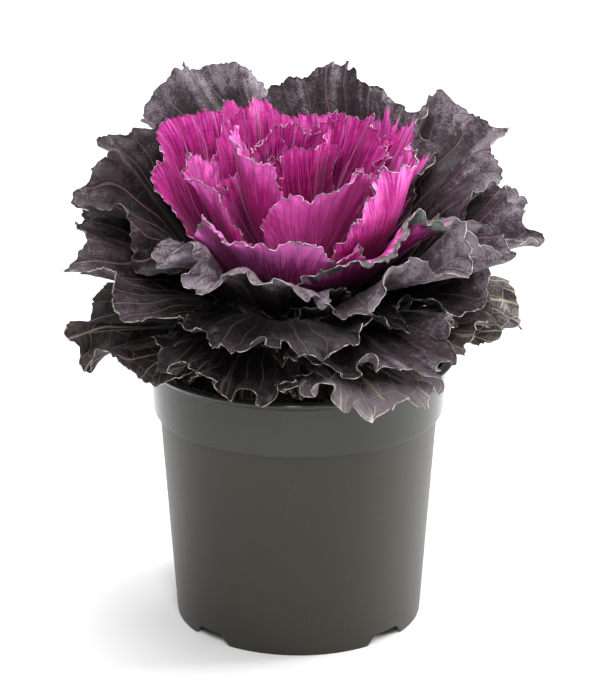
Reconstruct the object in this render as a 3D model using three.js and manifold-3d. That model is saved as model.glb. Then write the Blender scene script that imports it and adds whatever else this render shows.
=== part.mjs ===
// An ornamental kale in a plastic nursery pot.
// Millimetres, +Z up. The plant leans to its front, -Y. The origin is on the ground, below the middle of
// the whole plant's spread, and the pot stands a little behind it.
//
// The plant is one stem with 50 leaves on the golden-angle spiral. Every leaf is a fan-shaped blade
// that lies in its own layer of a nest of bowls: the lowest leaves lie nearly flat over the rim, the
// highest stand upright round the heart. Ruffles stay inside a leaf's own layer, so no leaf meets the
// next one. One smooth bend of space then leans the whole plant towards the front.
import * as THREE from "three";
import { mergeVertices } from "three/addons/utils/BufferGeometryUtils.js";
import Module from "manifold-3d";

const wasm = await Module();
wasm.setup();

const { abs, sin, cos, tanh, hypot, max, min, PI } = Math;
const radians = THREE.MathUtils.degToRad;

// ---------------------------------------------------------------- driving dimensions

const POT_AXIS_X = -1.6;
const POT_AXIS_Y = 11.5;
const POT_HEIGHT = 115;
const RIM_RADIUS = 65; // outer edge of the lip
const LIP_HEIGHT = 1.6;
const BAND_HEIGHT = 24; // smooth collar under the lip
const BAND_TOP_RADIUS = 61.2;
const BAND_FOOT_RADIUS = 60;
const BODY_TOP_RADIUS = 57.6;
const FOOT_RADIUS = 51.3;
const POT_WALL = 1.1;
const FLOOR_HEIGHT = 6; // underside of the floor above the foot ring's edge
const FOOT_RING_WIDTH = 2;
const POT_SIDES = 48;

const NOTCH_COUNT = 4; // drainage notches cut in the foot ring
const NOTCH_HEIGHT = 4.6;
const NOTCH_FOOT_HALF_WIDTH = 11;
const NOTCH_TOP_HALF_WIDTH = 6.8;
const NOTCH_AZIMUTH = 45; // degrees, so that the front of the foot is whole
const DRAIN_RADIUS = 4;
const DRAIN_CIRCLE_RADIUS = 34;

const SOIL_HEIGHT = 105; // at the pot's wall
const SOIL_MOUND = 3; // extra height at the stem
const CLEARANCE = 0.35; // gap that keeps touching pieces apart

const STEM_FOOT = 72; // buried end of the stem
const STEM_TOP = 152;
const STEM_SIDES = 20;

const GOLDEN_ANGLE = 137.508;
const OUTER_LEAVES = 24;
const HEART_LEAVES = 14;
const BUD_LEAVES = 12;
const FIRST_HEART_AZIMUTH = 150; // degrees from +X, towards +Y
const SEED = 7;

const LEAN_AT_SOIL = 4; // degrees towards the front
const LEAN_AT_TOP = 12;
const HEART_SHIFT_X = -5;
const HEART_SHIFT_Y = 11;

// ---------------------------------------------------------------- how leaves change up the stem

// Values at chosen leaves, counted from the lowest, with straight lines between them.
// Angles are in degrees from the horizontal. The base is where the leaf leaves the stem.
const UP_THE_STEM = {
  leaf:       [0, 8, 16, 21, 23, 28, 31, 33, 37, 38, 49],
  baseHeight: [111, 118, 126, 131, 133, 138, 142, 144, 149, 150, 154],
  baseRadius: [10.2, 10.2, 9.9, 9.5, 9.4, 8.2, 7.3, 6.4, 4.6, 3.5, 1],
  baseAngle:  [30, 33, 35, 36, 36, 38, 46, 56, 76, 80, 89],
  tipAngle:   [-12, 15, 42, 55, 64, 77, 82, 86, 93, 94, 98],
  length:     [80, 92, 99, 102, 98, 87, 80, 72, 60, 52, 36],
  halfWidth:  [38, 44, 46, 45, 42, 37, 33, 31, 22, 16, 7],
  fan:        [132, 132, 130, 126, 118, 108, 106, 106, 104, 102, 95],
  petiole:    [26, 26, 24, 21, 19, 16, 14, 13, 11, 10, 7],
  thickness:  [3, 3, 2.8, 2.4, 2.2, 2, 1.8, 1.8, 1.5, 1.4, 1.2],
  ruffle:     [4.4, 5.6, 6, 5.4, 4, 2.2, 1.8, 1.5, 1, 0.8, 0.5],
};

// How each leaf grew off the rule, as [leaf, degrees further round the stem, length factor,
// degrees that the tip stands higher, width factor, how much more the margin rolls outwards].
const OFF_RULE = [
  [0, 3, 1, -3, 1, 1],
  [1, 4, 0.62, 2, 1, 1],
  [2, 6, 1.02, -8, 1.05, 1],
  [3, -5, 0.92, 0, 1, 1],
  [4, 12, 0.97, 0, 1.05, 1],
  [6, 7, 0.95, -15, 1.1, 1],
  [7, -1, 0.91, 5, 1, 1],
  [9, 3, 0.84, -4, 1, 1],
  [10, 9, 0.98, 1, 1, 1],
  [11, -10, 0.88, 8, 1, 1],
  [12, -1, 0.97, 5, 1.05, 1],
  [13, -12, 1, -4, 1, 1],
  [14, -21, 1.03, 7, 1, 1],
  [15, 3, 1.01, 4, 1, 1],
  [16, -9, 1.07, 5, 1.1, 1],
  [17, 6, 1.04, 5, 1.15, 1.7],
  [18, -14, 1.06, 4, 1, 1],
  [19, -12, 0.96, 5, 1.05, 1],
  [20, -9, 1.12, 8, 1.05, 1.2],
  [21, -17, 0.93, 5, 1, 1],
  [22, 9, 0.9, 9, 1.3, 1.7],
  [23, 36, 0.84, 6, 0.65, 1],
  [24, -8, 0.93, 4, 0.95, 1],
  [25, 27, 0.92, 3, 1.2, 2.2],
  [26, 16, 0.85, 4, 1.3, 1],
  [27, 50, 0.86, 0, 1.5, 1],
  [28, -3, 1, 14, 1.45, 1],
  [29, -5, 0.95, 1, 0.85, 1],
  [30, -66, 0.87, 3, 1.1, 1],
  [31, 19, 0.9, 5, 0.85, 1],
  [32, -22, 0.65, 0, 0.9, 1],
  [33, -8, 0.97, -3, 1.4, 1],
  [34, 0, 0.88, -2, 1.1, 1],
  [35, -19, 1.05, -1, 1.6, 1],
  [36, -46, 1.12, 2, 1.7, 1],
  [37, 0, 0.9, 0, 1.1, 1],
];

const BLADE_THICKNESS = 0.8; // at the margin
const PETIOLE_SHARE = 0.22; // share of the u coordinate that the petiole takes
const NECK_HALF_WIDTH = 2.6;
const WRAP_LIMIT = radians(60); // no leaf reaches further round the stem than this
const MARGIN_ROLL = 3; // how far the margin rolls outwards
const CENTRE_ROOM = 0.7; // extra depth of the ruffles along the middle of a leaf

const FOLD_COUNT = 17; // folds round the plant that neighbouring leaves share, nested in each other
const FOLD_DEPTH = 3.6;
const FOLD_DRIFT = 0.1; // how far the shared folds turn from one leaf to the next, in radians
const HEART_FOLD_SHARE = 0.3; // the heart's folds are shallower

// Rows of vertices from the stem to the margin: [u, vertices across].
const OUTER_ROWS = [[0, 3], [0.22, 5], [0.42, 9], [0.65, 15], [0.85, 27], [1, 33]];
const HEART_ROWS = [[0, 3], [0.22, 5], [0.45, 9], [0.75, 17], [1, 21]];
const BUD_ROWS = [[0, 3], [0.4, 4], [0.75, 7], [1, 9]];

// ---------------------------------------------------------------- materials

const plastic = new THREE.MeshStandardMaterial({ color: 0x4a4a46, roughness: 0.42, metalness: 0 });
const pottingSoil = new THREE.MeshStandardMaterial({ color: 0x1c1713, roughness: 0.95, metalness: 0 });
const stemSkin = new THREE.MeshStandardMaterial({ color: 0x6f7a52, roughness: 0.7, metalness: 0 });
const purpleBlack = new THREE.MeshStandardMaterial({ color: 0x3a3036, roughness: 0.6, metalness: 0 });
const magenta = new THREE.MeshStandardMaterial({ color: 0xb0307f, roughness: 0.55, metalness: 0 });

// ---------------------------------------------------------------- small tools

// Smooth step from 0 at low to 1 at high.
function ease(x, low, high) {
  return THREE.MathUtils.smoothstep(x, low, high);
}

// A value of UP_THE_STEM at leaf number i.
function upTheStem(name, i) {
  const at = UP_THE_STEM.leaf;
  const values = UP_THE_STEM[name];
  const k = max(0, min(at.length - 2, at.findLastIndex((leaf) => leaf <= i)));
  const share = (i - at[k]) / (at[k + 1] - at[k]);
  return values[k] + (values[k + 1] - values[k]) * share;
}

// Mulberry32: a seeded random number from 0 to 1.
function seededRandom(seed) {
  let state = seed >>> 0;
  return () => {
    state = (state + 0x6d2b79f5) >>> 0;
    let t = state;
    t = Math.imul(t ^ (t >>> 15), t | 1);
    t ^= t + Math.imul(t ^ (t >>> 7), t | 61);
    return ((t ^ (t >>> 14)) >>> 0) / 4294967296;
  };
}

// Positions merged, so that the geometry is one closed surface.
function weld(geometry) {
  geometry.deleteAttribute("normal");
  geometry.deleteAttribute("uv");
  return mergeVertices(geometry, 1e-4);
}

function solidOf(geometry) {
  const welded = weld(geometry);
  return new wasm.Manifold(new wasm.Mesh({
    numProp: 3,
    vertProperties: welded.getAttribute("position").array,
    triVerts: new Uint32Array(welded.index.array),
  }));
}

function geometryOf(solid) {
  const { vertProperties, triVerts } = solid.getMesh();
  const geometry = new THREE.BufferGeometry();
  geometry.setAttribute("position", new THREE.BufferAttribute(vertProperties, 3));
  geometry.setIndex(new THREE.BufferAttribute(triVerts, 1));
  geometry.computeVertexNormals();
  return geometry;
}

// A turned solid from [radius, height] pairs that run up the outside and back down the inside.
function turned(profile, sides) {
  const points = profile.map(([radius, height]) => new THREE.Vector2(radius, height));
  return new THREE.LatheGeometry(points, sides).rotateX(PI / 2);
}

function named(name, geometry, material) {
  const mesh = new THREE.Mesh(geometry, material);
  mesh.name = name;
  return mesh;
}

// ---------------------------------------------------------------- pot and soil

const BAND_FOOT = POT_HEIGHT - BAND_HEIGHT;
const FLOOR_TOP = FLOOR_HEIGHT + POT_WALL;

function potSolid() {
  const profile = [
    [0, FLOOR_HEIGHT],
    [FOOT_RADIUS - FOOT_RING_WIDTH, FLOOR_HEIGHT],
    [FOOT_RADIUS - FOOT_RING_WIDTH, 0],
    [FOOT_RADIUS - 0.8, 0],
    [FOOT_RADIUS, 1.2],
    [BODY_TOP_RADIUS, BAND_FOOT - 0.8],
    [BAND_FOOT_RADIUS, BAND_FOOT],
    [BAND_TOP_RADIUS, POT_HEIGHT - 2.4 * LIP_HEIGHT],
    [RIM_RADIUS - 0.6, POT_HEIGHT - LIP_HEIGHT],
    [RIM_RADIUS, POT_HEIGHT - 0.5 * LIP_HEIGHT],
    [RIM_RADIUS - 0.5, POT_HEIGHT],
    [BAND_TOP_RADIUS, POT_HEIGHT],
    [BAND_TOP_RADIUS - POT_WALL, POT_HEIGHT - 1.2 * LIP_HEIGHT],
    [BAND_FOOT_RADIUS - POT_WALL, BAND_FOOT + 0.6],
    [BODY_TOP_RADIUS - POT_WALL, BAND_FOOT - 1.2],
    [FOOT_RADIUS - POT_WALL, FLOOR_TOP],
    [0, FLOOR_TOP],
  ];
  let pot = solidOf(turned(profile, POT_SIDES));
  const notchOutline = new THREE.Shape([
    new THREE.Vector2(-NOTCH_FOOT_HALF_WIDTH, -1),
    new THREE.Vector2(NOTCH_FOOT_HALF_WIDTH, -1),
    new THREE.Vector2(NOTCH_TOP_HALF_WIDTH, NOTCH_HEIGHT),
    new THREE.Vector2(-NOTCH_TOP_HALF_WIDTH, NOTCH_HEIGHT),
  ]);
  const notchDepth = 14;
  const notchStart = FOOT_RADIUS - notchDepth + 3;
  for (let k = 0; k < NOTCH_COUNT; k++) {
    const azimuth = radians(NOTCH_AZIMUTH + (360 / NOTCH_COUNT) * k);
    const notch = new THREE.ExtrudeGeometry(notchOutline, { depth: notchDepth, bevelEnabled: false })
      .rotateX(PI / 2)
      .translate(0, -notchStart, 0)
      .rotateZ(azimuth);
    pot = pot.subtract(solidOf(notch));
    const drain = new THREE.CylinderGeometry(DRAIN_RADIUS, DRAIN_RADIUS, 3 * FLOOR_HEIGHT, 12)
      .rotateX(PI / 2)
      .translate(0, -DRAIN_CIRCLE_RADIUS, FLOOR_HEIGHT)
      .rotateZ(azimuth);
    pot = pot.subtract(solidOf(drain));
  }
  return pot;
}

// The pot's inner radius at a height between its floor and the band's top.
function innerRadius(height) {
  const bodyShare = (height - FLOOR_TOP) / (BAND_FOOT - 1.2 - FLOOR_TOP);
  if (bodyShare <= 1) {
    return FOOT_RADIUS - POT_WALL + (BODY_TOP_RADIUS - FOOT_RADIUS) * bodyShare;
  }
  const bandShare = (height - BAND_FOOT - 0.6) / (BAND_HEIGHT - 0.6 - 1.2 * LIP_HEIGHT);
  return BAND_FOOT_RADIUS - POT_WALL + (BAND_TOP_RADIUS - BAND_FOOT_RADIUS) * max(0, bandShare);
}

function soilSolid() {
  const shoulder = BAND_FOOT - 1.2;
  const profile = [
    [0, FLOOR_TOP + CLEARANCE],
    [innerRadius(FLOOR_TOP) - CLEARANCE, FLOOR_TOP + CLEARANCE],
    [innerRadius(shoulder) - CLEARANCE, shoulder],
    [innerRadius(BAND_FOOT + 0.6) - CLEARANCE, BAND_FOOT + 1],
    [innerRadius(SOIL_HEIGHT) - CLEARANCE, SOIL_HEIGHT],
    [0.75 * BAND_TOP_RADIUS, SOIL_HEIGHT + 0.25 * SOIL_MOUND],
    [0.35 * BAND_TOP_RADIUS, SOIL_HEIGHT + 0.85 * SOIL_MOUND],
    [0, SOIL_HEIGHT + SOIL_MOUND],
  ];
  const hole = bent(turned(stemProfile(CLEARANCE), STEM_SIDES));
  return solidOf(turned(profile, POT_SIDES)).subtract(solidOf(hole));
}

// ---------------------------------------------------------------- the bend of space

// Moves a point of the upright plant to where it is in the leaning one.
function bend(point) {
  const { x, y, z } = point;
  const radius = hypot(x, y);
  // A slow swell makes the leaves uneven without letting neighbours meet.
  const reach = ease(radius, 12, 52);
  const k = (2 * PI) / 75;
  const swell = 2.6 * reach;
  let px = x + swell * sin(k * (y + 0.6 * z) + 1);
  let py = y + swell * sin(k * (0.5 * z - x) + 2.2);
  let pz = z + swell * ease(z, 118, 143) * sin(1.15 * k * (x + 0.7 * y) + 0.4);
  // The outer leaves stand higher at the back than at the front.
  const back = (py + hypot(py, 20)) / 2;
  const front = py - back;
  pz += ease(radius, 40, 80) * (0.18 * back + 0.17 * front * ease(pz, 125, 170));
  // The heart's middle sits back and to the left in its ring of larger leaves.
  const inner = (1 - ease(radius, 5, 45)) * ease(pz, 135, 185);
  px += HEART_SHIFT_X * inner;
  py += HEART_SHIFT_Y * inner;
  const lean = radians(LEAN_AT_SOIL + (LEAN_AT_TOP - LEAN_AT_SOIL) * ease(pz, 112, 172));
  const above = pz - SOIL_HEIGHT;
  return point.set(
    px,
    py * cos(lean) - above * sin(lean),
    SOIL_HEIGHT + above * cos(lean) + py * sin(lean),
  );
}

function bent(geometry) {
  const position = geometry.getAttribute("position");
  const point = new THREE.Vector3();
  for (let k = 0; k < position.count; k++) {
    bend(point.fromBufferAttribute(position, k));
    position.setXYZ(k, point.x, point.y, point.z);
  }
  return geometry;
}

// ---------------------------------------------------------------- stem

// Radius of the stem where leaf number i leaves it.
function stemRadiusAt(i) {
  const halfBase = 0.5 * upTheStem("thickness", i) * sin(radians(upTheStem("baseAngle", i)));
  return upTheStem("baseRadius", i) - halfBase;
}

function stemProfile(extra = 0) {
  const profile = [[0, STEM_FOOT - extra], [6 + extra, STEM_FOOT - extra], [8 + extra, 100]];
  for (const leaf of [0, 8, 16, 24, 31, 37]) {
    profile.push([stemRadiusAt(leaf) - CLEARANCE + extra, upTheStem("baseHeight", leaf)]);
  }
  profile.push([0, STEM_TOP + extra]);
  return profile;
}

// ---------------------------------------------------------------- leaves

// Everything that sets leaf number i apart, in a fixed order of random draws.
function leafSpec(i) {
  const random = seededRandom(1000 * SEED + i);
  const own = OFF_RULE.find(([leaf]) => leaf === i) ?? [i, 0, 1, 0, 1, 1];
  const [, extraAzimuth, lengthFactor, rise, widthFactor, rollFactor] = own;
  const onSpiral = FIRST_HEART_AZIMUTH + (i - OUTER_LEAVES) * GOLDEN_ANGLE;
  const azimuth = onSpiral + (random() - 0.5) * 8 + extraAzimuth;
  const length = upTheStem("length", i) * lengthFactor * (1 + (random() - 0.5) * 0.08);
  const phase = [0, 1, 2, 3, 4, 5].map(() => random() * 2 * PI);
  return {
    azimuth: radians(azimuth),
    length,
    phase,
    waves: (i < OUTER_LEAVES ? 5.4 : 3.8) + 1.2 * random(),
    foldPhase: FOLD_DRIFT * i,
    foldDepth: FOLD_DEPTH * (i < OUTER_LEAVES ? 1 : HEART_FOLD_SHARE),
    twist: 4 * (random() - 0.5),
    roll: MARGIN_ROLL * rollFactor * (i < OUTER_LEAVES ? 1 : 0.6),
    baseHeight: upTheStem("baseHeight", i),
    baseRadius: upTheStem("baseRadius", i),
    baseAngle: radians(upTheStem("baseAngle", i)),
    tipAngle: radians(upTheStem("tipAngle", i) + rise),
    halfWidth: upTheStem("halfWidth", i) * widthFactor,
    fan: radians(upTheStem("fan", i)),
    petiole: upTheStem("petiole", i),
    thickness: upTheStem("thickness", i),
    ruffle: upTheStem("ruffle", i),
  };
}

// Middle surface of a leaf. u runs from 0 at the stem to 1 at the margin, v from -1 to 1 across the fan.
function leafPoint(leaf, u, v) {
  const q = max(0, (u - PETIOLE_SHARE) / (1 - PETIOLE_SHARE)); // 0 at the petiole's end, 1 at the margin
  const wave = leaf.waves * PI * v + 0.7 * sin(2.3 * PI * v + leaf.phase[1]);

  // Flat outline: an ellipse swept as a fan from the petiole's end, with a lobe to each ruffle.
  const halfLength = (leaf.length - leaf.petiole) / 1.82;
  const lobe = 1 + 0.04 * sin(wave + leaf.phase[2]);
  const marginAlong = leaf.petiole + halfLength * (0.82 + cos(v * leaf.fan) * lobe);
  const marginAcross = leaf.halfWidth * sin(v * leaf.fan) * lobe;
  const along = u < PETIOLE_SHARE
    ? (leaf.petiole * u) / PETIOLE_SHARE
    : leaf.petiole + (marginAlong - leaf.petiole) * q ** 0.9;
  const across = v * NECK_HALF_WIDTH * (1 - q) + marginAcross * q ** 1.15;

  // Side view: a curve whose slope turns evenly from the base angle to the tip angle.
  const turn = (leaf.tipAngle - leaf.baseAngle) / leaf.length;
  const slope = leaf.baseAngle + turn * along;
  const radius = leaf.baseRadius + (sin(slope) - sin(leaf.baseAngle)) / turn;
  const height = leaf.baseHeight - (cos(slope) - cos(leaf.baseAngle)) / turn;

  // Off the bowl, along its normal: the ruffles, a twist and the rolled margin. There is more room
  // between the leaves the farther they are from the stem.
  const room = (along / leaf.length) ** 1.3 * (1 + CENTRE_ROOM * cos((PI / 2) * min(1, 1.3 * abs(v))) ** 2);
  const swing = 0.8 + 0.2 * sin(1.7 * PI * v + leaf.phase[3]);
  const ruffle = leaf.ruffle * swing * q ** 2.8 * sin(wave + leaf.phase[0]);
  const azimuth = leaf.azimuth + WRAP_LIMIT * tanh(across / (max(radius, 6) * WRAP_LIMIT));
  const foldAngle = FOLD_COUNT * azimuth + 0.9 * sin(3 * azimuth + 1) + leaf.foldPhase;
  const fold = leaf.foldDepth * ease(along, 35, 95) * sin(foldAngle);
  const off = fold + room * (ruffle + leaf.twist * v * q - leaf.roll * q ** 4);
  const r = radius - off * sin(slope);
  return bend(new THREE.Vector3(r * cos(azimuth), r * sin(azimuth), height + off * cos(slope)));
}

// Triangles between two rows of vertices that may differ in number.
function zip(rowA, rowB) {
  const triangles = [];
  let a = 0;
  let b = 0;
  while (a < rowA.length - 1 || b < rowB.length - 1) {
    const nextA = (a + 1) / (rowA.length - 1);
    const nextB = (b + 1) / (rowB.length - 1);
    if (nextA <= nextB) {
      triangles.push([rowA[a], rowA[a + 1], rowB[b]]);
      a++;
    } else {
      triangles.push([rowA[a], rowB[b + 1], rowB[b]]);
      b++;
    }
  }
  return triangles;
}

// A leaf as one closed solid: the same triangles on both faces, and a band round the edge.
function leafGeometry(leaf, rows) {
  const middle = [];
  const halfThickness = [];
  const ids = rows.map(([u, count]) => Array.from({ length: count }, (_, k) => {
    middle.push(...leafPoint(leaf, u, (2 * k) / (count - 1) - 1).toArray());
    halfThickness.push((leaf.thickness + (BLADE_THICKNESS - leaf.thickness) * ease(u, 0, 0.7)) / 2);
    return halfThickness.length - 1;
  }));
  const triangles = ids.slice(1).flatMap((row, k) => zip(ids[k], row));
  const sheet = new THREE.BufferGeometry();
  sheet.setAttribute("position", new THREE.Float32BufferAttribute(middle, 3));
  sheet.setIndex(triangles.flat());
  sheet.computeVertexNormals();

  const count = halfThickness.length;
  const position = sheet.getAttribute("position");
  const normal = sheet.getAttribute("normal");
  const points = new Float32Array(6 * count);
  for (let k = 0; k < count; k++) {
    for (const axis of [0, 1, 2]) {
      const shift = normal.getComponent(k, axis) * halfThickness[k];
      points[3 * k + axis] = position.getComponent(k, axis) + shift;
      points[3 * (k + count) + axis] = position.getComponent(k, axis) - shift;
    }
  }
  const last = ids.length - 1;
  const edge = [
    ...ids[0],
    ...ids.slice(1, last).map((row) => row.at(-1)),
    ...ids[last].toReversed(),
    ...ids.slice(1, last).map((row) => row[0]).toReversed(),
  ];
  const band = edge.flatMap((a, k) => {
    const b = edge[(k + 1) % edge.length];
    return [[a, a + count, b], [b, a + count, b + count]];
  });
  const lower = triangles.map(([a, b, c]) => [a + count, c + count, b + count]);
  const solid = new THREE.BufferGeometry();
  solid.setAttribute("position", new THREE.BufferAttribute(points, 3));
  solid.setIndex([...triangles, ...lower, ...band].flat());
  return solid;
}

// The tight middle of the heart: its small leaves and the growing tip, as one piece.
function budSolid() {
  const tip = turned([[0, STEM_TOP + 0.6], [1.6, STEM_TOP + 0.6], [2.4, 160], [1.4, 172], [0, 176]], 10);
  let bud = solidOf(bent(tip));
  for (let k = 0; k < BUD_LEAVES; k++) {
    const leaf = leafSpec(OUTER_LEAVES + HEART_LEAVES + k);
    bud = bud.add(solidOf(leafGeometry(leaf, BUD_ROWS)));
  }
  // Joining can leave a loose sliver, so only the largest body is kept.
  return bud.decompose().sort((a, b) => b.volume() - a.volume())[0];
}

// ---------------------------------------------------------------- the potted plant

const onPotAxis = new THREE.Group();
onPotAxis.position.set(POT_AXIS_X, POT_AXIS_Y, 0);

onPotAxis.add(named("pot", geometryOf(potSolid()), plastic));
onPotAxis.add(named("soil", geometryOf(soilSolid()), pottingSoil));
onPotAxis.add(named("stem", bent(turned(stemProfile(), STEM_SIDES)), stemSkin));

const twoDigits = (k) => String(k + 1).padStart(2, "0");
for (let k = 0; k < OUTER_LEAVES; k++) {
  const leaf = leafSpec(k);
  onPotAxis.add(named(`outer_leaf_${twoDigits(k)}`, leafGeometry(leaf, OUTER_ROWS), purpleBlack));
}
for (let k = 0; k < HEART_LEAVES; k++) {
  const leaf = leafSpec(OUTER_LEAVES + k);
  onPotAxis.add(named(`heart_leaf_${twoDigits(k)}`, leafGeometry(leaf, HEART_ROWS), magenta));
}
onPotAxis.add(named("heart_bud", geometryOf(budSolid()), magenta));

const pottedKale = new THREE.Group();
pottedKale.add(onPotAxis);

export default pottedKale;
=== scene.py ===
"""An ornamental kale in a plastic nursery pot.

The leaves follow the same rule and the same named values as the CAD model, with finer rows, frilled and
toothed margins, veins and colour. Shapes are in millimetres, and become metres where a mesh is made.
Lights, the camera's distance and the scales in materials that go by an object's position are in metres.
"""
import math

import bmesh
import bpy
import numpy as np
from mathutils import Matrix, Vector


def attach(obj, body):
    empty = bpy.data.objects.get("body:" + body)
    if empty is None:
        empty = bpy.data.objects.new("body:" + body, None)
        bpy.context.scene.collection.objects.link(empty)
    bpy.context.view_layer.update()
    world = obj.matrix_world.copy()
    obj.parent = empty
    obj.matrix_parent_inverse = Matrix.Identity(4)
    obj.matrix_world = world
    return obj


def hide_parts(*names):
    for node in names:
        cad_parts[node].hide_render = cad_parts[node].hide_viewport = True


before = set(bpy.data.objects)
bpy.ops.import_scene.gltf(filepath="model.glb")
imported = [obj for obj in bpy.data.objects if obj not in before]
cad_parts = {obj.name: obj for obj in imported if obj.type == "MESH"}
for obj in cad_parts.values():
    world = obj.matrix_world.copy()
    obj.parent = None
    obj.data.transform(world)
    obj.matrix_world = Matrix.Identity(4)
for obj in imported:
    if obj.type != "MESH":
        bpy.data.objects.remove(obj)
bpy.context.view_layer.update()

# ------------------------------------------------------------------ the CAD model's values

POT_AXIS = (-1.6, 11.5)
POT_HEIGHT = 115
RIM_RADIUS = 65
LIP_HEIGHT = 1.6
BAND_HEIGHT = 24
BAND_TOP_RADIUS = 61.2
BAND_FOOT_RADIUS = 60
BODY_TOP_RADIUS = 57.6
FOOT_RADIUS = 51.3
POT_WALL = 1.1
FLOOR_HEIGHT = 6
FOOT_RING_WIDTH = 2
NOTCHES = 4
NOTCH_HEIGHT = 4.6
NOTCH_FOOT_HALF_WIDTH = 11
NOTCH_TOP_HALF_WIDTH = 6.8
DRAIN_RADIUS = 4
DRAIN_CIRCLE_RADIUS = 34
SOIL_HEIGHT = 105
SOIL_MOUND = 3

GOLDEN_ANGLE = 137.508
OUTER_LEAVES = 24
HEART_LEAVES = 14
BUD_LEAVES = 12
FIRST_HEART_AZIMUTH = 150
SEED = 7
LEAN_AT_SOIL = 4
LEAN_AT_TOP = 12
HEART_SHIFT_X = -5
HEART_SHIFT_Y = 11

UP_THE_STEM = {
    "leaf": [0, 8, 16, 21, 23, 28, 31, 33, 37, 38, 49],
    "base_height": [111, 118, 126, 131, 133, 138, 142, 144, 149, 150, 154],
    "base_radius": [10.2, 10.2, 9.9, 9.5, 9.4, 8.2, 7.3, 6.4, 4.6, 3.5, 1],
    "base_angle": [30, 33, 35, 36, 36, 38, 46, 56, 76, 80, 89],
    "tip_angle": [-12, 15, 42, 55, 64, 77, 82, 86, 93, 94, 98],
    "length": [80, 92, 99, 102, 98, 87, 80, 72, 60, 52, 36],
    "half_width": [38, 44, 46, 45, 42, 37, 33, 31, 22, 16, 7],
    "fan": [132, 132, 130, 126, 118, 108, 106, 106, 104, 102, 95],
    "petiole": [26, 26, 24, 21, 19, 16, 14, 13, 11, 10, 7],
    "thickness": [3, 3, 2.8, 2.4, 2.2, 2, 1.8, 1.8, 1.5, 1.4, 1.2],
    "ruffle": [4.4, 5.6, 6, 5.4, 4, 2.2, 1.8, 1.5, 1, 0.8, 0.5],
}

# How single leaves leave the rule. Leaf number: degrees further round the stem, length factor, degrees that
# the tip stands higher, width factor, and how much more the margin rolls outwards.
OFF_RULE = {
    0: (3, 1, -3, 1, 1), 1: (4, 0.62, 2, 1, 1), 2: (6, 1.02, -8, 1.05, 1), 3: (-5, 0.92, 0, 1, 1),
    4: (12, 0.97, 0, 1.05, 1), 6: (7, 0.95, -15, 1.1, 1), 7: (-1, 0.91, 5, 1, 1),
    9: (3, 0.84, -4, 1, 1), 10: (9, 0.98, 1, 1, 1), 11: (-10, 0.88, 8, 1, 1),
    12: (-1, 0.97, 5, 1.05, 1), 13: (-12, 1, -4, 1, 1), 14: (-21, 1.03, 7, 1, 1),
    15: (3, 1.01, 4, 1, 1), 16: (-9, 1.07, 5, 1.1, 1), 17: (6, 1.04, 5, 1.15, 1.7),
    18: (-14, 1.06, 4, 1, 1), 19: (-12, 0.96, 5, 1.05, 1), 20: (-9, 1.12, 8, 1.05, 1.2),
    21: (-17, 0.93, 5, 1, 1), 22: (9, 0.9, 9, 1.3, 1.7), 23: (36, 0.84, 6, 0.65, 1),
    24: (-8, 0.93, 4, 0.95, 1), 25: (27, 0.92, 3, 1.2, 2.2), 26: (16, 0.85, 4, 1.3, 1),
    27: (50, 0.86, 0, 1.5, 1), 28: (-3, 1, 14, 1.45, 1), 29: (-5, 0.95, 1, 0.85, 1),
    30: (-66, 0.87, 3, 1.1, 1), 31: (19, 0.9, 5, 0.85, 1), 32: (-22, 0.65, 0, 0.9, 1),
    33: (-8, 0.97, -3, 1.4, 1), 34: (0, 0.88, -2, 1.1, 1), 35: (-19, 1.05, -1, 1.6, 1),
    36: (-46, 1.12, 2, 1.7, 1), 37: (0, 0.9, 0, 1.1, 1),
}

PETIOLE_SHARE = 0.22
NECK_HALF_WIDTH = 2.6
WRAP_LIMIT = math.radians(60)
MARGIN_ROLL = 3
CENTRE_ROOM = 0.7
FOLD_COUNT = 17
FOLD_DEPTH = 3.6
FOLD_DRIFT = 0.1
HEART_FOLD_SHARE = 0.3

# ------------------------------------------------------------------ small tools


def ease(x, low, high):
    """Smooth step from 0 at low to 1 at high."""
    share = np.clip((x - low) / (high - low), 0, 1)
    return share * share * (3 - 2 * share)


def seeded_random(seed):
    """Mulberry32, as in the CAD model: a function that gives numbers from 0 to 1."""
    state = seed & 0xFFFFFFFF

    def draw():
        nonlocal state
        state = (state + 0x6D2B79F5) & 0xFFFFFFFF
        t = state
        t = ((t ^ (t >> 15)) * (t | 1)) & 0xFFFFFFFF
        t ^= (t + (((t ^ (t >> 7)) * (t | 61)) & 0xFFFFFFFF)) & 0xFFFFFFFF
        return ((t ^ (t >> 14)) & 0xFFFFFFFF) / 4294967296

    return draw


def unit(vectors):
    return vectors / np.maximum(np.linalg.norm(vectors, axis=-1, keepdims=True), 1e-9)


def add_mesh(name, points, faces, materials, smooth=True):
    """A mesh object from points in millimetres about the pot's axis."""
    moved = (np.asarray(points, float) + (*POT_AXIS, 0)) / 1000
    mesh = bpy.data.meshes.new(name)
    mesh.from_pydata(moved.tolist(), [], [tuple(map(int, face)) for face in faces])
    mesh.update()
    piece = bpy.data.objects.new(name, mesh)
    bpy.context.scene.collection.objects.link(piece)
    for material in materials:
        mesh.materials.append(material)
    mesh.polygons.foreach_set("use_smooth", [smooth] * len(mesh.polygons))
    return piece


def add_values(piece, name, values):
    """A number at each vertex, for the material."""
    attribute = piece.data.attributes.new(name, "FLOAT", "POINT")
    attribute.data.foreach_set("value", np.broadcast_to(values, len(piece.data.vertices)).astype(np.float32))


def stands_for(piece, slot, *nodes):
    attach(piece, "root")
    if nodes:
        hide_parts(*nodes)


# ------------------------------------------------------------------ node materials


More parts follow.
